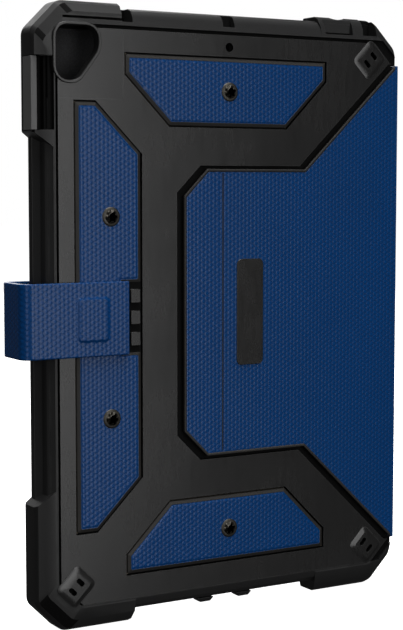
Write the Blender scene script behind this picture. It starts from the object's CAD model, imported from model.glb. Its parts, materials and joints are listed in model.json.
"""Looks of the rugged folio tablet case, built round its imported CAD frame.

Shapes are written in millimetres from the middle of the hard back plate's outer face:
x to the right as the back is seen, y from the back towards the front cover, z up.
"""

import json
import math

import bmesh
import bpy
from mathutils import Matrix, Vector
from mathutils.geometry import delaunay_2d_cdt


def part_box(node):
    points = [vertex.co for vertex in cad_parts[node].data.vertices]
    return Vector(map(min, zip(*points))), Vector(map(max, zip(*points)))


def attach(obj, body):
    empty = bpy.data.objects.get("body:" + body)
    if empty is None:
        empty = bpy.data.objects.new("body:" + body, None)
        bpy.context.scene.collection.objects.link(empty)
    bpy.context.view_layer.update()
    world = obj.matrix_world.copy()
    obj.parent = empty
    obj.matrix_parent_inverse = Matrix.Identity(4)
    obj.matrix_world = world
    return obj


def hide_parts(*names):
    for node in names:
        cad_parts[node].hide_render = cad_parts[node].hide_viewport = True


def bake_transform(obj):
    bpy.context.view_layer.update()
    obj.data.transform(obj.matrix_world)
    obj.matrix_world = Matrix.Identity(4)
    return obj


MM = 0.001
PLATE_LEFT, PLATE_BOTTOM = 83.9, 124.0

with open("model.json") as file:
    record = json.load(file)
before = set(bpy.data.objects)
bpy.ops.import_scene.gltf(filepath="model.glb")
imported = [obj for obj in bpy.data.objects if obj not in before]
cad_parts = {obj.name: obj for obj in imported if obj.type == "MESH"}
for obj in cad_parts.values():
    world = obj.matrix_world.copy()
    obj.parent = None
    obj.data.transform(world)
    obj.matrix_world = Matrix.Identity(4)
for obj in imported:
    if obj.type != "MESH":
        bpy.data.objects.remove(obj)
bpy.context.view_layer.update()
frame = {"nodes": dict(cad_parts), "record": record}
plate_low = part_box("armour_frame")[0]
ORIGIN = Vector((plate_low.x + PLATE_LEFT * MM, plate_low.y, plate_low.z + PLATE_BOTTOM * MM))


def at(x, y, z):
    """A point in the row frame, in metres, from one in millimetres about the back plate."""
    return ORIGIN + Vector((x, y, z)) * MM


def local_box(node):
    """A node's lowest and highest corners in millimetres about the back plate."""
    low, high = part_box(node)
    return (low - ORIGIN) / MM, (high - ORIGIN) / MM


# ---------- camera ----------

AZIMUTH, ELEVATION = math.radians(-30.41), math.radians(4.87)
DISTANCE = 0.6825
back = Vector((math.sin(AZIMUTH) * math.cos(ELEVATION), -math.cos(AZIMUTH) * math.cos(ELEVATION),
               math.sin(ELEVATION)))
camera_data = bpy.data.cameras.new("camera")
camera_data.lens = 87.63
camera_data.sensor_width = 36
camera = bpy.data.objects.new("camera", camera_data)
camera.location = at(-14.38, 0, -0.51) + back * DISTANCE
camera.rotation_mode = "QUATERNION"
camera.rotation_quaternion = (-back).to_track_quat("-Z", "Y")
bpy.context.scene.collection.objects.link(camera)
bpy.context.scene.camera = camera

# ---------- outlines, lists of (x, z) running counter-clockwise ----------


def rounded(points, radius, steps=5):
    """An outline with every corner replaced by an arc, of one radius or each of its own."""
    out = []
    radii = radius if isinstance(radius, list) else [radius] * len(points)
    for i, p in enumerate(points):
        here = Vector(p)
        radius = radii[i]
        a = (Vector(points[i - 1]) - here).normalized()
        b = (Vector(points[(i + 1) % len(points)]) - here).normalized()
        half = math.acos(max(-1, min(1, a.dot(b)))) / 2
        if half > math.radians(89):
            out.append(here)
            continue
        centre = here + (a + b).normalized() * radius / math.sin(half)
        first = here + a * radius / math.tan(half) - centre
        last = here + b * radius / math.tan(half) - centre
        turn = math.atan2(first.x * last.y - first.y * last.x, first.dot(last))
        start = math.atan2(first.y, first.x)
        for k in range(steps + 1):
            angle = start + turn * k / steps
            out.append(centre + radius * Vector((math.cos(angle), math.sin(angle))))
    return out


def inset(points, d):
    """An outline moved inwards by d."""
    out = []
    for i, p in enumerate(points):
        here = Vector(p)
        a = (here - Vector(points[i - 1])).normalized()
        b = (Vector(points[(i + 1) % len(points)]) - here).normalized()
        na, nb = Vector((-a.y, a.x)), Vector((-b.y, b.x))
        out.append(here + d * (na + nb) / (1 + na.dot(nb)))
    return out


def rectangle(left, right, bottom, top):
    return [(left, bottom), (right, bottom), (right, top), (left, top)]


def circle(x, z, r, steps=24, turn=0.0):
    angles = [turn + math.tau * k / steps for k in range(steps)]
    return [Vector((x + r * math.cos(angle), z + r * math.sin(angle))) for angle in angles]


def flipped(points):
    return [(x, -z) for x, z in reversed(points)]


def smooth(t):
    t = max(0.0, min(1.0, t))
    return t * t * (3 - 2 * t)


# ---------- meshes ----------


class Shape:
    """A mesh made from rings and faces, in mm about the back plate, with flat texture coordinates."""

    def __init__(self):
        self.points, self.faces, self.slots, self.flat = [], [], [], {}

    def point(self, x, y, z, u=None, v=None):
        self.points.append((x, y, z))
        if u is not None:
            self.flat[len(self.points) - 1] = (u, v)
        return len(self.points) - 1

    def ring(self, outline, y):
        return [self.point(x, y, z) for x, z in outline]

    def face(self, corners, slot=0):
        self.faces.append(tuple(corners))
        self.slots.append(slot)

    def between(self, a, b, slot=0, closed=True):
        """Joins two rings; the faces look outwards where b lies behind a's outline."""
        n = len(a)
        for i in range(n if closed else n - 1):
            j = (i + 1) % n
            self.face((a[i], a[j], b[j], b[i]), slot)

    def sheet(self, outer, holes, height, slot=0, lines=(), flip=False):
        """Fills between ring outer and the hole rings, along the given lines, at y = height(x, z)."""
        flat, edges, made = [], [], {}
        for ring in [outer, *holes]:
            first = len(flat)
            for k in ring:
                made[len(flat)] = k
                flat.append(Vector((self.points[k][0], self.points[k][2])))
            edges += [(first + i, first + (i + 1) % len(ring)) for i in range(len(ring))]
        for a, b in lines:
            edges.append((len(flat), len(flat) + 1))
            flat += [Vector(a), Vector(b)]
        found, _, triangles, origins, _, _ = delaunay_2d_cdt(flat, edges, [], 2, 1e-5)
        here = []
        for p, source in zip(found, origins):
            known = [made[s] for s in source if s in made]
            here.append(known[0] if known else self.point(p.x, height(p.x, p.y), p.y))
        for t in triangles:
            corners = [here[i] for i in t]
            middle = sum((self.points[i][0] for i in corners)) / 3
            self.face(corners if flip else corners[::-1], slot(middle) if callable(slot) else slot)

    def build(self, name, materials, angle=30, weighted=True):
        mesh = bpy.data.meshes.new(name)
        mesh.from_pydata([at(*p) for p in self.points], [], self.faces)
        for m in materials:
            mesh.materials.append(m)
        mesh.polygons.foreach_set("material_index", self.slots)
        layer = mesh.uv_layers.new(name="skin")
        for poly in mesh.polygons:
            for loop in poly.loop_indices:
                k = mesh.loops[loop].vertex_index
                x, y, z = self.points[k]
                layer.data[loop].uv = self.flat.get(k, (x, z))
        finish_mesh(mesh, angle)
        obj = bpy.data.objects.new(name, mesh)
        bpy.context.scene.collection.objects.link(obj)
        if weighted:
            obj.modifiers.new("shading", "WEIGHTED_NORMAL").keep_sharp = True
        return obj


def finish_mesh(mesh, angle):
    """Merges doubled points, turns the faces outwards and shades smooth up to an angle."""
    bm = bmesh.new()
    bm.from_mesh(mesh)
    bmesh.ops.remove_doubles(bm, verts=bm.verts, dist=2e-6)
    bmesh.ops.recalc_face_normals(bm, faces=bm.faces)
    bm.to_mesh(mesh)
    bm.free()
    mesh.shade_smooth()
    mesh.set_sharp_from_angle(angle=math.radians(angle))


# Depths in mm past which a floor is black, and how far in the finger hollow behind the volume bar goes
PIT_DEPTH, STEP_DEPTH = 1.5, 2.8
HOLLOW_RIGHT, HOLLOW_FRONT, HOLLOW_BACK = -85.4, 0.3, 7.5


def in_bar_hollow(p):
    """Whether a point, in mm, lies in the finger hollow behind the volume bar."""
    bar_low, bar_high = local_box("volume_rocker")
    return p.x < HOLLOW_RIGHT and bar_low.z - 1 < p.z < bar_high.z + 1 and HOLLOW_FRONT < p.y < HOLLOW_BACK


def softened(name, body, nodes, material, width=0.35, segments=2, angle=28, shade=34,
             deep=None, floors=False):
    """One piece for one or more CAD nodes, with the flats merged and the sharp edges rounded off.

    Faces whose middle lies deeper than deep, in mm, take the black of a pit; with floors, only those
    that look straight back do, and those of the hollow behind the volume bar.
    """
    bm = bmesh.new()
    for node in nodes:
        bm.from_mesh(frame["nodes"][node].data)
    bmesh.ops.remove_doubles(bm, verts=bm.verts, dist=3e-6)
    bmesh.ops.dissolve_limit(bm, angle_limit=math.radians(0.6), verts=bm.verts, edges=bm.edges)
    pairs = {}
    for face in bm.faces:
        pairs.setdefault(frozenset(v.index for v in face.verts), []).append(face)
    inner = [f for group in pairs.values() if len(group) > 1 for f in group]
    if inner:
        bmesh.ops.delete(bm, geom=inner, context="FACES")
        bmesh.ops.dissolve_limit(bm, angle_limit=math.radians(0.6), verts=bm.verts, edges=bm.edges)
    mesh = bpy.data.meshes.new(name)
    bm.to_mesh(mesh)
    bm.free()
    mesh.materials.append(material)
    if deep is not None:
        mesh.materials.append(pit_black)
        for poly in mesh.polygons:
            middle = (poly.center - ORIGIN) / MM
            limit = STEP_DEPTH if floors and 45 < middle.x < 70 and middle.z > 120 else deep
            inside = middle.y > limit and (poly.normal.y < -0.9 or not floors)
            poly.material_index = 1 if inside or (floors and in_bar_hollow(middle)) else 0
    obj = bpy.data.objects.new(name, mesh)
    bpy.context.scene.collection.objects.link(obj)
    bevel = obj.modifiers.new("rounding", "BEVEL")
    bevel.width = width * MM
    bevel.segments = segments
    bevel.limit_method = "ANGLE"
    bevel.angle_limit = math.radians(angle)
    bevel.use_clamp_overlap = True
    bevel.harden_normals = False
    bevel.loop_slide = False
    mesh.shade_smooth()
    mesh.set_sharp_from_angle(angle=math.radians(shade))
    weighted = obj.modifiers.new("shading", "WEIGHTED_NORMAL")
    weighted.keep_sharp = True
    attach(obj, body)
    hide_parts(*nodes)
    return obj


# ---------- materials ----------


class Nodes:
    """A small helper that wires one material."""

    def __init__(self, name):
        self.material = bpy.data.materials.new(name)
        self.material.use_nodes = True
        self.tree = self.material.node_tree
        self.shader = self.tree.nodes["Principled BSDF"]

    def add(self, kind, inputs=None, **settings):
        node = self.tree.nodes.new("ShaderNode" + kind)
        for key, value in settings.items():
            setattr(node, key, value)
        for key, value in (inputs or {}).items():
            self.feed(node.inputs[key], value)
        return node

    def feed(self, socket, value):
        if isinstance(value, bpy.types.NodeSocket):
            self.tree.links.new(value, socket)
        else:
            socket.default_value = value

    def math(self, operation, *values):
        node = self.add("Math", operation=operation)
        for socket, value in zip(node.inputs, values):
            self.feed(socket, value)
        return node.outputs[0]

    def vector(self, operation, *values, out=0):
        node = self.add("VectorMath", operation=operation)
        for socket, value in zip(node.inputs, values):
            self.feed(socket, value)
        return node.outputs[out]

    def noise(self, where, scale, detail=2.0, rough=0.5):
        return self.add("TexNoise", {"Vector": where, "Scale": scale, "Detail": detail,
                                     "Roughness": rough}).outputs["Fac"]

    def span(self, value, low, high, to_low, to_high, kind="LINEAR"):
        node = self.add("MapRange", interpolation_type=kind)
        for socket, v in zip(node.inputs, (value, low, high, to_low, to_high)):
            self.feed(socket, v)
        return node.outputs[0]

    def mix(self, factor, a, b):
        node = self.add("Mix", data_type="RGBA")
        self.feed(node.inputs[0], factor)
        self.feed(node.inputs[6], a)
        self.feed(node.inputs[7], b)
        return node.outputs[2]

    def bump(self, height, strength, distance, normal=None):
        node = self.add("Bump", {"Height": height, "Strength": strength, "Distance": distance})
        if normal is not None:
            self.feed(node.inputs["Normal"], normal)
        return node.outputs["Normal"]

    def set(self, **values):
        for key, value in values.items():
            self.feed(self.shader.inputs[key.replace("_", " ")], value)
        return self.material


def rgb(r, g, b):
    return (r, g, b, 1.0)


def moulded(name, colour, worn, rough, grain=0.00003, scale=2600.0, level=0.5):
    """Moulded plastic or rubber: fine pebbled grain, faint flow marks, handling shine and paler edges."""
    n = Nodes(name)
    where = n.add("TexCoord").outputs["Object"]
    broad = n.noise(where, 22.0, 3.0)
    grit = n.noise(where, scale, 2.0, 0.6)
    scuffs = n.noise(n.vector("MULTIPLY", where, (1.0, 1.0, 0.16)), 420.0, 4.0, 0.7)
    rim = n.add("Bevel", {"Radius": 0.0006}, samples=4).outputs["Normal"]
    true = n.add("NewGeometry").outputs["Normal"]
    edge = n.span(n.vector("DOT_PRODUCT", rim, true, out=1), 0.93, 0.995, 1.0, 0.0)
    base = n.mix(n.span(broad, 0.3, 0.7, 0.0, 1.0), rgb(*colour), rgb(*[c * 0.82 for c in colour]))
    wear = n.math("MULTIPLY", edge, n.span(n.noise(where, 160.0, 3.0), 0.4, 0.62, 0.25, 0.8))
    tint = n.mix(wear, base, rgb(*worn))
    shine = n.math("ADD", n.span(broad, 0.3, 0.7, rough - 0.03, rough + 0.04),
                   n.span(scuffs, 0.45, 0.75, 0.0, -0.05))
    normal = n.bump(grit, 0.5, grain)
    normal = n.bump(scuffs, 0.06, 0.00003, normal)
    return n.set(Base_Color=tint, Roughness=shine, Normal=normal, Specular_IOR_Level=level)


def dotted_skin(name, valley, crown, rough=0.5):
    """Coated fabric embossed with staggered dots, laid out in the flat coordinates of each piece."""
    n = Nodes(name)
    flat = n.add("UVMap", uv_map="skin").outputs["UV"]
    step = Vector((3.949, 2.28, 1.0))
    cells = n.vector("DIVIDE", flat, tuple(step))

    def nearest(shift):
        corner = n.vector("FRACTION", n.vector("ADD", cells, shift))
        away = n.vector("MULTIPLY", n.vector("SUBTRACT", corner, (0.5, 0.5, 0.0)), (step.x, step.y, 0.0))
        return n.vector("LENGTH", away, out=1)

    distance = n.math("MINIMUM", nearest((100.0, 100.0, 0.0)), nearest((100.5, 100.5, 0.0)))
    dome = n.span(distance, 0.3, 1.12, 1.0, 0.0, "SMOOTHSTEP")
    grain = n.noise(n.vector("MULTIPLY", flat, (1.0, 1.0, 1.0)), 3.2, 3.0, 0.6)
    broad = n.noise(flat, 0.03, 2.0)
    shade = n.math("ADD", n.math("MULTIPLY", dome, 0.7), n.span(grain, 0.3, 0.7, -0.1, 0.12))
    colour = n.mix(shade, rgb(*valley), rgb(*crown))
    colour = n.mix(n.span(broad, 0.35, 0.65, 0.0, 0.16), colour, rgb(*[c * 0.7 for c in valley]))
    shine = n.math("ADD", n.math("MULTIPLY", dome, -0.07),
                   n.span(grain, 0.3, 0.7, rough + 0.06, rough - 0.02))
    normal = n.bump(grain, 0.25, 0.00006)
    normal = n.bump(dome, 0.3, 0.0002, normal)
    return n.set(Base_Color=colour, Roughness=shine, Normal=normal, Specular_IOR_Level=0.28)


def edge_paint(name, colour, rough=0.55):
    """Pressed or painted edge of a covered board: slightly waxy, with fine cross grain."""
    n = Nodes(name)
    where = n.add("TexCoord").outputs["Object"]
    fine = n.noise(where, 1500.0, 3.0, 0.6)
    broad = n.noise(where, 90.0, 3.0)
    base = n.mix(n.span(broad, 0.35, 0.65, 0.0, 1.0), rgb(*colour), rgb(*[c * 0.65 for c in colour]))
    return n.set(Base_Color=base, Roughness=n.span(fine, 0.3, 0.7, rough - 0.06, rough + 0.08),
                 Normal=n.bump(fine, 0.35, 0.00004))


def suede(name, colour, tip):
    """Short napped microfibre lining: fine fibres, brushed patches and a soft sheen."""
    n = Nodes(name)
    where = n.add("TexCoord").outputs["Object"]
    fibre = n.noise(n.vector("MULTIPLY", where, (1.0, 1.0, 0.4)), 3800.0, 2.0, 0.7)
    patch = n.noise(where, 28.0, 3.0, 0.6)
    base = n.mix(n.span(fibre, 0.35, 0.7, 0.0, 1.0), rgb(*colour), rgb(*tip))
    base = n.mix(n.span(patch, 0.4, 0.65, 0.0, 0.35), base, rgb(*[c * 0.6 for c in colour]))
    return n.set(Base_Color=base, Roughness=0.95, Sheen_Weight=0.35, Sheen_Roughness=0.4,
                 Specular_IOR_Level=0.2, Normal=n.bump(fibre, 0.5, 0.00005))


def metal(name, colour, rough, scratches=260.0):
    """Worked metal with fine scratches and a little uneven oxide."""
    n = Nodes(name)
    where = n.add("TexCoord").outputs["Object"]
    lines = n.noise(n.vector("MULTIPLY", where, (1.0, 0.3, 0.12)), scratches * 10, 3.0, 0.7)
    oxide = n.noise(where, 320.0, 4.0, 0.6)
    base = n.mix(n.span(oxide, 0.35, 0.7, 0.0, 1.0), rgb(*colour), rgb(*[c * 0.6 for c in colour]))
    shine = n.math("ADD", n.span(lines, 0.35, 0.7, rough - 0.06, rough + 0.08),
                   n.span(oxide, 0.4, 0.7, 0.0, 0.08))
    return n.set(Base_Color=base, Roughness=shine, Metallic=1.0, Normal=n.bump(lines, 0.2, 0.00002))


def fibre_board(name, colour):
    """Pressed board: flecks of fibre on a matt ground."""
    n = Nodes(name)
    where = n.add("TexCoord").outputs["Object"]
    fleck = n.noise(n.vector("MULTIPLY", where, (1.0, 1.0, 0.2)), 900.0, 4.0, 0.7)
    base = n.mix(n.span(fleck, 0.35, 0.65, 0.0, 1.0), rgb(*colour), rgb(*[c * 0.5 for c in colour]))
    return n.set(Base_Color=base, Roughness=0.9, Normal=n.bump(fleck, 0.4, 0.00006))


soft_black = moulded("soft_black", (0.014, 0.014, 0.0142), (0.03, 0.03, 0.03), 0.42, level=0.35)
rocker_grey = moulded("rocker_grey", (0.125, 0.125, 0.125), (0.15, 0.15, 0.15), 0.55, level=0.4)
hard_black = moulded("hard_black", (0.012, 0.0118, 0.0118), (0.035, 0.035, 0.035), 0.26, grain=0.00001,
                     scale=3400.0, level=0.55)
pit_black = moulded("pit_black", (0.002, 0.002, 0.002), (0.003, 0.003, 0.003), 0.7, level=0.1)
blue = dotted_skin("blue_skin", (0.0001, 0.035, 0.14), (0.0002, 0.05, 0.195), 0.27)
dark_edge = edge_paint("dark_edge", (0.011, 0.0095, 0.008), 0.6)
lining = suede("lining_dark", (0.026, 0.026, 0.027), (0.06, 0.06, 0.063))
screw_metal = metal("screw_dark", (0.085, 0.08, 0.07), 0.48)
steel = metal("magnet_steel", (0.55, 0.55, 0.57), 0.3)
brass = metal("nut_brass", (0.6, 0.45, 0.18), 0.35)
board = fibre_board("stiffener", (0.2, 0.17, 0.12))
badge = moulded("badge_black", (0.006, 0.0055, 0.005), (0.02, 0.018, 0.016), 0.26, grain=0.00001, level=0.6)

by_slot = {"soft_black": soft_black, "rocker_grey": rocker_grey, "hard_black": hard_black, "blue_skin": blue,
           "dark_edge": dark_edge, "badge_black": badge, "stiffener": board, "magnet_steel": steel,
           "screw_dark": screw_metal, "nut_brass": brass, "lining_dark": lining}
for part in frame["record"]["subparts"]:
    node = frame["nodes"][part["node"]]
    node.data.materials.clear()
    node.data.materials.append(by_slot[part["material_slot"]])

# ---------- hard and soft plastic ----------

softened("tray", "shell", ["tray_left_wall", "tray_right_wall", "tray_top_wall", "tray_bottom_wall"],
         soft_black, 0.35, deep=PIT_DEPTH, floors=True)
softened("tray_floor", "shell", ["tray_back", "tray_back_corner"], soft_black, 0.2,
         deep=PIT_DEPTH, floors=True)
softened("bay_lining", "shell", ["tray_lining"], lining, 0.15)
for corner in ["top_left", "top_right", "bottom_left", "bottom_right"]:
    softened("bumper_" + corner, "shell", ["corner_bumper_" + corner], soft_black, 1.4, 4,
             deep=PIT_DEPTH, floors=True)
softened("back_plate", "shell", ["armour_frame", "armour_corner"], hard_black, 0.4, 3, deep=0.4)
softened("camera_ring", "shell", ["camera_surround"], hard_black, 0.3, 3)
softened("corner_tabs", "shell", ["anchor_tabs"], hard_black, 0.35, 3)
softened("strap_anchor", "shell", ["strap_comb"], hard_black, 0.3, 2, deep=0.0)
softened("jack_ring", "shell", ["jack_collar"], hard_black, 0.3, 2)
softened("socket_guards", "shell", ["port_guards"], soft_black, 0.4, 2)
softened("volume_bar", "volume_rocker", ["volume_rocker"], rocker_grey, 1.8, 8)
softened("power_bar", "power_key", ["power_key"], soft_black, 0.5, 3)
softened("mark_plate", "shell", ["panel_badge"], badge, 0.2, 2)

# ---------- screws ----------

SCREW_HEAD, SCREW_TOP, SOCKET_FLOOR = 4.2, -0.8, -0.52
screws_low, screws_high = local_box("back_screws")
screw_z = screws_high.z - SCREW_HEAD
side_x, side_z = screws_low.x + SCREW_HEAD, 43.6
SCREWS = [(0, screw_z), (0, -screw_z), (side_x, side_z), (side_x, -side_z)]


def star(x, z, reach=2.05, dip=0.62, turn=0.0, steps=72):
    """The outline of a six-lobed socket."""
    out = []
    for k in range(steps):
        angle = math.tau * k / steps
        r = reach - dip / 2 + dip / 2 * math.cos(6 * angle)
        out.append(Vector((x + r * math.cos(angle + turn), z + r * math.sin(angle + turn))))
    return out


heads = Shape()
for i, (x, z) in enumerate(SCREWS):
    turn = 0.35 + 0.9 * i
    profile = [(SCREW_HEAD, 0.8), (SCREW_HEAD, -0.35), (4.05, -0.52), (3.75, -0.68), (3.35, -0.78),
               (3.2, SCREW_TOP)]
    rings = [heads.ring(circle(x, z, r, 72), y) for r, y in profile]
    for a, b in zip(rings, rings[1:]):
        heads.between(a, b)
    socket = [heads.ring(star(x, z, reach, 0.8, turn), y)
              for reach, y in [(2.6, SCREW_TOP), (2.5, -0.7), (2.4, SOCKET_FLOOR)]]
    heads.sheet(rings[-1], [socket[0]], lambda x, z: SCREW_TOP)
    heads.between(socket[0], socket[1])
    heads.between(socket[1], socket[2], 1)
    heads.sheet(socket[2], [], lambda x, z: SOCKET_FLOOR, 1)
    heads.face(rings[0])
screws = heads.build("screws", [screw_metal, rocker_grey], 35)
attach(screws, "shell")
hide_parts("back_screws")

# ---------- blue pads ----------


def pad(name, outline, node, holes):
    """A covered board: dark sloped edge, thin pressed line, then the dotted skin with its screw holes."""
    shape = Shape()
    profile = [(0.0, 0.78, 1), (0.25, 0.3, 1), (1.15, -0.02, 1), (1.32, -0.1, 1), (1.5, -0.16, 1),
               (1.72, -0.17, 1), (1.86, -0.1, 0), (2.0, -0.1, 0), (2.25, -0.24, 0), (2.6, -0.3, 0),
               (3.0, -0.31, 0)]
    rings = []
    for d, y, _ in profile:
        rings.append(shape.ring(rounded(inset(outline, 0.6 + d), max(0.35, 0.9 - d * 0.15), 3), y))
    for k in range(1, len(profile)):
        shape.between(rings[k - 1], rings[k], profile[k][2])
    wells = []
    for x, z in holes:
        steps = [(5.15, -0.31, 0), (4.85, -0.24, 0), (4.6, 0.0, 0), (4.45, 0.3, 1), (4.4, 0.78, 1)]
        loops = [shape.ring(circle(x, z, r, 36), y) for r, y, _ in steps]
        for k in range(1, len(steps)):
            shape.between(loops[k], loops[k - 1], steps[k][2])
        wells.append(loops[0])
        shape.face(loops[-1][::-1], 1)
    shape.sheet(rings[-1], wells, lambda x, z: -0.31)
    shape.face(rings[0], 1)
    obj = shape.build(name, [blue, dark_edge], 40)
    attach(obj, "shell")
    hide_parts(node)
    return obj


top_low, top_high = local_box("top_insert")
side_low, side_high = local_box("left_insert")
GAP, SLOPE, SIDE_SLOPE = 0.6, 21.9, 21.7
window_top, window_w = top_high.z + GAP, top_high.x + GAP
window_low = top_low.z - GAP
top_outline = [(-window_w + SLOPE, window_low), (window_w - SLOPE, window_low),
               (window_w, window_low + SLOPE), (window_w, window_top), (-window_w, window_top),
               (-window_w, window_low + SLOPE)]
side_left, side_right, side_top = side_low.x - GAP, side_high.x + GAP, side_high.z + GAP
NOTCH_LEFT, NOTCH_HALF = -52.6, 14.2
side_outline = [(side_left, -side_top), (side_right - SIDE_SLOPE, -side_top),
                (side_right, -side_top + SIDE_SLOPE), (side_right, -NOTCH_HALF), (NOTCH_LEFT, -NOTCH_HALF),
                (NOTCH_LEFT, NOTCH_HALF), (side_right, NOTCH_HALF), (side_right, side_top - SIDE_SLOPE),
                (side_right - SIDE_SLOPE, side_top), (side_left, side_top)]
pad("pad_top", top_outline, "top_insert", [SCREWS[0]])
pad("pad_bottom", flipped(top_outline), "bottom_insert", [SCREWS[1]])
pad("pad_side", side_outline, "left_insert", [SCREWS[2], SCREWS[3]])

# ---------- back panel ----------

PANEL_LEFT, PANEL_HALF, PANEL_KNEE, PANEL_CUT, PANEL_END = 23.3, 64.2, 40.6, 11.9, 113.0
panel_right = local_box("back_panel_skin")[1].x
slope = (PANEL_END - PANEL_HALF) / (panel_right - PANEL_KNEE)
far = panel_right + 20
panel_far = [(-PANEL_LEFT, -PANEL_HALF + PANEL_CUT), (-PANEL_LEFT + PANEL_CUT, -PANEL_HALF),
             (PANEL_KNEE, -PANEL_HALF), (far, -PANEL_HALF - (far - PANEL_KNEE) * slope),
             (far, PANEL_HALF + (far - PANEL_KNEE) * slope), (PANEL_KNEE, PANEL_HALF),
             (-PANEL_LEFT + PANEL_CUT, PANEL_HALF), (-PANEL_LEFT, PANEL_HALF - PANEL_CUT)]
FOLD_X = -3.3


def panel_ring(d):
    """The panel's edge moved inwards by d, from its top right end round the left to its bottom right end."""
    points = rounded(inset(panel_far, d), max(0.3, 0.9 - d * 0.3), 3)
    first = max(i for i, p in enumerate(points) if p.x > panel_right) + 1
    near = [p for p in points[first:] + points[:first] if p.x <= panel_right]
    drop = near[0].y + (panel_right - near[0].x) * slope
    return [Vector((panel_right, drop)), *near, Vector((panel_right, -drop))]


def fold_dip(x, z):
    """Depth of the panel's surface, with the pressed groove where it folds into a stand."""
    return -0.3 + 0.42 * (1 - smooth((abs(x - FOLD_X) - 0.16) / 0.4))


panel = Shape()
profile = [(0.0, 0.6, 1), (0.0, -0.36, 1), (0.12, -0.5, 1), (0.32, -0.56, 1), (0.8, -0.56, 1),
           (1.0, -0.46, 1), (1.1, -0.3, 1), (1.25, -0.22, 1), (1.45, -0.26, 0), (1.8, -0.3, 0)]
rings = [panel.ring(panel_ring(d), y) for d, y, _ in profile]
for k in range(1, len(profile)):
    panel.between(rings[k - 1], rings[k], profile[k][2], closed=False)
lines = [((FOLD_X + side * off, -PANEL_HALF + 1.9), (FOLD_X + side * off, PANEL_HALF - 1.9))
         for side in (-1, 1) for off in (0.16, 0.3, 0.43, 0.56)]
panel.sheet(rings[-1], [], fold_dip, lambda x: 1 if abs(x - FOLD_X) < 0.3 else 0, lines)
back_ring = panel.ring([(p[0], p[2]) for p in (panel.points[k] for k in rings[0])], 0.6)
panel.face(back_ring, 1)
panel.face((rings[-1][0], rings[-1][-1], rings[0][-1], rings[0][0]), 0)
back_panel = panel.build("back_panel", [blue, dark_edge], 40)
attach(back_panel, "shell")
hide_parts("back_panel_skin", "back_panel_bead")

# ---------- spine and its two folds ----------

spine_low, spine_high = local_box("spine_skin")
ROLL, SKIN = 0.9, 0.8
hinge_x = spine_high.x - ROLL
back_hinge_y, front_hinge_y = spine_low.y + ROLL, spine_high.y - ROLL
spine_middle_y = (back_hinge_y + front_hinge_y) / 2


def extruded(name, outline, half_z, material, flat=None, rounding=0.25):
    """A long piece with one cross-section, an (x, y) loop, and softened ends."""
    shape = Shape()
    steps = [(-half_z, 0.55), (-half_z + rounding * 0.4, 0.2), (-half_z + rounding, 0.0)]
    count = 40
    inner = [(-half_z + rounding + (2 * half_z - 2 * rounding) * i / count, 0.0) for i in range(1, count)]
    stations = steps + inner + [(-z, q) for z, q in reversed(steps)]
    loops = []
    for z, q in stations:
        loop = []
        for i, p in enumerate(outline):
            a, b = Vector(outline[i - 1]), Vector(outline[(i + 1) % len(outline)])
            along = (b - a).normalized()
            moved = Vector(p) + Vector((-along.y, along.x)) * q * rounding
            loop.append(shape.point(moved.x, moved.y, z, flat[i] if flat else moved.x, z))
        loops.append(loop)
    for a, b in zip(loops, loops[1:]):
        shape.between(a, b)
    shape.face(loops[0][::-1])
    shape.face(loops[-1])
    return shape.build(name, [material], 50, weighted=False)


def turned(centre, radius, first, last, steps):
    """Points of an arc, with angles in degrees."""
    out = []
    for k in range(steps + 1):
        angle = math.radians(first + (last - first) * k / steps)
        out.append((centre[0] + radius * math.cos(angle), centre[1] + radius * math.sin(angle)))
    return out


def fold_skin(name, hinge_y, way):
    """Covering skin from a board's edge round one hinge roll to the middle of the spine."""
    flat_end = panel_right - 0.25
    upright = [spine_middle_y + (hinge_y - spine_middle_y) * k / 8 for k in range(8)]
    outer = [(hinge_x + ROLL, y) for y in upright] + turned((hinge_x, hinge_y), ROLL, 0, 90 * way, 8)
    outer += [(flat_end, hinge_y + way * ROLL)]
    inner = [(flat_end, hinge_y + way * (ROLL - SKIN)), (hinge_x, hinge_y + way * (ROLL - SKIN)),
             (hinge_x + ROLL - SKIN, hinge_y)] + [(hinge_x + ROLL - SKIN, y) for y in reversed(upright)]
    loop = outer + inner
    run = [0.0]
    for a, b in zip(loop, loop[1:]):
        run.append(run[-1] + math.dist(a, b))
    if way < 0:
        loop, run = loop[::-1], run[::-1]
    obj = extruded(name, loop, spine_high.z + 0.2, blue, run)
    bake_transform(obj)
    return obj


back_fold = fold_skin("back_fold", back_hinge_y, -1)
fold_skin("front_fold", front_hinge_y, 1)
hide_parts("spine_skin")
core_low, core_high = local_box("spine_board")
core = [(core_high.x, core_low.y), (core_high.x, core_high.y), (core_low.x + 0.25, core_high.y),
        (core_low.x + 0.05, core_high.y - 0.2)]
for y in (core_high.y - 3, core_low.y + 3.8):
    core += [(core_low.x, y), (core_low.x + 0.2, y - 0.2), (core_low.x + 0.2, y - 0.6), (core_low.x, y - 0.8)]
core += [(core_low.x + 0.05, core_low.y + 0.2), (core_low.x + 0.25, core_low.y)]
spine_core = extruded("spine_core", core, spine_high.z - 0.4, lining)
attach(spine_core, "spine")
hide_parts("spine_board")

# ---------- front cover ----------

cover_low, cover_high = local_box("cover_skin")
CORNERS = [14, 8, 8, 14]
cover_outline = rectangle(cover_low.x, cover_high.x, cover_low.z, cover_high.z)


def cover_ring(shape, d, y):
    return shape.ring(rounded(inset(cover_outline, d), [r - d for r in CORNERS], 10), y)


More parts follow.
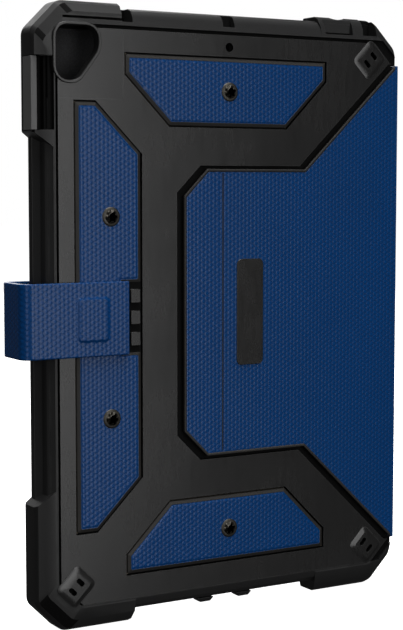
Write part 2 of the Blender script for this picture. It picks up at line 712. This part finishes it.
cover = Shape()
front = cover_high.y
profile = [(1.0, cover_low.y + 0.1), (0.45, cover_low.y + 0.14), (0.12, cover_low.y + 0.4),
           (0.0, cover_low.y + 0.8), (0.0, front - 0.9), (0.12, front - 0.45), (0.4, front - 0.12),
           (0.85, front), (2.5, front), (2.75, front - 0.08), (2.95, front - 0.26), (3.35, front - 0.26),
           (3.55, front - 0.08), (3.8, front)]
rings = [cover_ring(cover, d, y) for d, y in profile]
for a, b in zip(rings, rings[1:]):
    cover.between(a, b)
cover.sheet(rings[-1], [], lambda x, z: front, flip=True)
cover.face(rings[0])
cover_piece = cover.build("cover_outside", [blue], 40)
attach(cover_piece, "cover")
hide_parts("cover_skin", "cover_board")

inside_low = local_box("cover_lining")[0]
inside = Shape()
face_y = inside_low.y
profile = [(0.9, face_y + 0.72), (0.9, face_y + 0.2), (1.0, face_y + 0.06), (1.25, face_y), (4.0, face_y),
           (4.2, face_y + 0.1), (4.6, face_y + 0.1), (4.8, face_y)]
rings = [cover_ring(inside, d, y) for d, y in profile]
for a, b in zip(rings, rings[1:]):
    inside.between(a, b)
inside.sheet(rings[-1], [], lambda x, z: face_y)
inside.face(rings[0])
cover_inside = inside.build("cover_inside", [lining], 40)
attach(cover_inside, "cover")
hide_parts("cover_lining")

# ---------- strap ----------

STRAP_HALF, STRAP_T, BEND, HINGE_X = 16.0, 2.1, 5.0, -91.5
band_low, band_high = local_box("strap_band")
loop_low = local_box("strap_loop")[0]
tip_high = local_box("strap_tip")[1]
back_y, front_y, side_x = band_low.y + STRAP_T / 2, tip_high.y - STRAP_T / 2, loop_low.x + STRAP_T / 2
seam_y = (back_y + front_y) / 2
turn_r = BEND - STRAP_T / 2


def walk(points, step):
    """Points along a line of (x, y) pairs, no further than step apart."""
    out = [points[0]]
    for a, b in zip(points, points[1:]):
        n = max(1, math.ceil(math.dist(a, b) / step))
        out += [(a[0] + (b[0] - a[0]) * k / n, a[1] + (b[1] - a[1]) * k / n) for k in range(1, n + 1)]
    return out


def strap(name, path, widths, lift, free, nodes, phase=0.0):
    """A flat band along an (x, y) path, with rounded edges; free gives a point's way from its free end."""
    shape = Shape()
    run = [phase]
    for a, b in zip(path, path[1:]):
        run.append(run[-1] + math.dist(a, b))
    loops = []
    for i, p in enumerate(path):
        before, after = path[max(i - 1, 0)], path[min(i + 1, len(path) - 1)]
        along = Vector((after[0] - before[0], after[1] - before[1])).normalized()
        out = Vector((along.y, -along.x)) * -1
        tuck = 0.35 * (1 - min(1.0, free(run[i] - run[0], run[-1] - run[i]) / 0.35)) ** 2
        half_w, half_t = widths(run[i] - run[0], run[-1] - run[i]) - tuck, STRAP_T / 2 - tuck
        soft = 0.62
        rows = [-half_w + soft + (2 * half_w - 2 * soft) * k / 76 for k in range(77)]
        section = [(half_t + lift(p, z), z) for z in rows]
        for k in range(1, 5):
            angle = math.radians(90 * k / 5)
            section.append((half_t - soft + soft * math.cos(angle), half_w - soft + soft * math.sin(angle)))
        for k in range(1, 5):
            angle = math.radians(90 * k / 5)
            section.append((-half_t + soft - soft * math.sin(angle), half_w - soft + soft * math.cos(angle)))
        section += [(-half_t, half_w - soft), (-half_t, 0), (-half_t, -half_w + soft)]
        for k in range(1, 5):
            angle = math.radians(90 * k / 5)
            section.append((-half_t + soft - soft * math.cos(angle), -half_w + soft - soft * math.sin(angle)))
        for k in range(1, 5):
            angle = math.radians(90 * k / 5)
            section.append((half_t - soft + soft * math.sin(angle), -half_w + soft - soft * math.cos(angle)))
        loops.append([shape.point(p[0] + out.x * n, p[1] + out.y * n, z, run[i], z) for n, z in section])
    for a, b in zip(loops, loops[1:]):
        shape.between(a, b)
    shape.face(loops[0])
    shape.face(loops[-1][::-1])
    obj = shape.build(name, [blue], 55, weighted=False)
    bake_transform(obj)
    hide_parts(*nodes)
    return run[-1]


mark_low, mark_high = local_box("strap_badge")
RAISE, EASE = 0.55, 0.85


def raised(p, z):
    """Height of the pressed-up rectangle on the strap's back."""
    if p[1] > back_y + 0.01:
        return 0.0
    r = 2.0
    middle_x, half_x = (mark_low.x + mark_high.x) / 2, (mark_high.x - mark_low.x) / 2
    qx, qz = abs(p[0] - middle_x) - half_x + r, abs(z) - mark_high.z + r
    away = math.hypot(max(qx, 0), max(qz, 0)) + min(max(qx, qz), 0) - r
    return RAISE * smooth(-away / EASE)


bend_back, bend_front = (side_x + turn_r, back_y + turn_r), (side_x + turn_r, front_y - turn_r)
strap_end = band_high.x - 0.9
back_path = walk([(strap_end, back_y), (strap_end - 0.12, back_y), (strap_end - 0.3, back_y),
                  (mark_low.x - 0.6, back_y)], 0.35)
back_path += walk([back_path[-1], (bend_back[0], back_y)], 0.9)[1:]
back_path += turned(bend_back, turn_r, -90, -180, 14)[1:]
back_path += walk([(side_x, bend_back[1]), (side_x, seam_y)], 0.8)[1:]
front_path = walk([(side_x, seam_y), (side_x, bend_front[1])], 0.8)
front_path += turned(bend_front, turn_r, 180, 90, 14)[1:]
front_path += walk([(bend_front[0], front_y), (tip_high.x - 0.3, front_y), (tip_high.x - 0.12, front_y),
                    (tip_high.x, front_y)], 0.8)[1:]
seam = strap("strap_back", back_path, lambda done, left: STRAP_HALF, raised, lambda done, left: done,
             ["strap_band", "strap_badge"])
strap("strap_front", front_path, lambda done, left: STRAP_HALF - max(0.0, 4 - left), lambda p, z: 0.0,
      lambda done, left: left,
      ["strap_loop", "strap_tip"], seam)

# ---------- floor, light ----------

floor = bpy.data.objects.new("floor", bpy.data.meshes.new("floor"))
size = 6.0
corners = [(-size, -size, 0), (size, -size, 0), (size, size, 0), (-size, size, 0)]
floor.data.from_pydata(corners, [], [(0, 1, 2, 3)])
bpy.context.scene.collection.objects.link(floor)
pale = Nodes("floor_pale")
pale.set(Base_Color=rgb(0.85, 0.85, 0.85), Roughness=0.9, Emission_Color=rgb(1, 1, 1), Emission_Strength=1.0)
floor.data.materials.append(pale.material)
floor.visible_glossy = False
floor.visible_diffuse = False
floor.visible_shadow = False

world = bpy.data.worlds.new("studio")
bpy.context.scene.world = world
world.use_nodes = True
tree = world.node_tree
shown = tree.nodes.new("ShaderNodeBackground")
shown.inputs["Color"].default_value = rgb(1, 1, 1)
shown.inputs["Strength"].default_value = 1.0
lit = tree.nodes["Background"]
lit.inputs["Color"].default_value = rgb(1, 1, 1)
lit.inputs["Strength"].default_value = 0.05
choose = tree.nodes.new("ShaderNodeMixShader")
tree.links.new(tree.nodes.new("ShaderNodeLightPath").outputs["Is Camera Ray"], choose.inputs[0])
tree.links.new(lit.outputs[0], choose.inputs[1])
tree.links.new(shown.outputs[0], choose.inputs[2])
tree.links.new(choose.outputs[0], tree.nodes["World Output"].inputs["Surface"])
bpy.context.scene.view_settings.view_transform = "Standard"


def softbox(name, azimuth, elevation, distance, width, height, radiance, spread=180):
    """An area light aimed at the middle of the case, with the given radiance."""
    a, e = math.radians(azimuth), math.radians(elevation)
    towards = Vector((math.sin(a) * math.cos(e), -math.cos(a) * math.cos(e), math.sin(e)))
    data = bpy.data.lights.new(name, "AREA")
    data.shape = "RECTANGLE"
    data.size, data.size_y = width, height
    data.energy = radiance * math.pi * width * height
    data.spread = math.radians(spread)
    obj = bpy.data.objects.new(name, data)
    obj.location = at(0, 8, 0) + towards * distance
    obj.rotation_mode = "QUATERNION"
    obj.rotation_quaternion = (-towards).to_track_quat("-Z", "Y")
    obj.visible_camera = False
    bpy.context.scene.collection.objects.link(obj)
    return obj


softbox("key", 12.5, 8, 1.8, 0.7, 1.8, 2.7)
softbox("fill", -42, 10, 2.0, 1.0, 1.6, 1.2)
softbox("front", 164, 12, 2.0, 1.3, 1.8, 2.3)
softbox("overhead", 0, 80, 2.0, 2.0, 2.0, 1.25, 70)
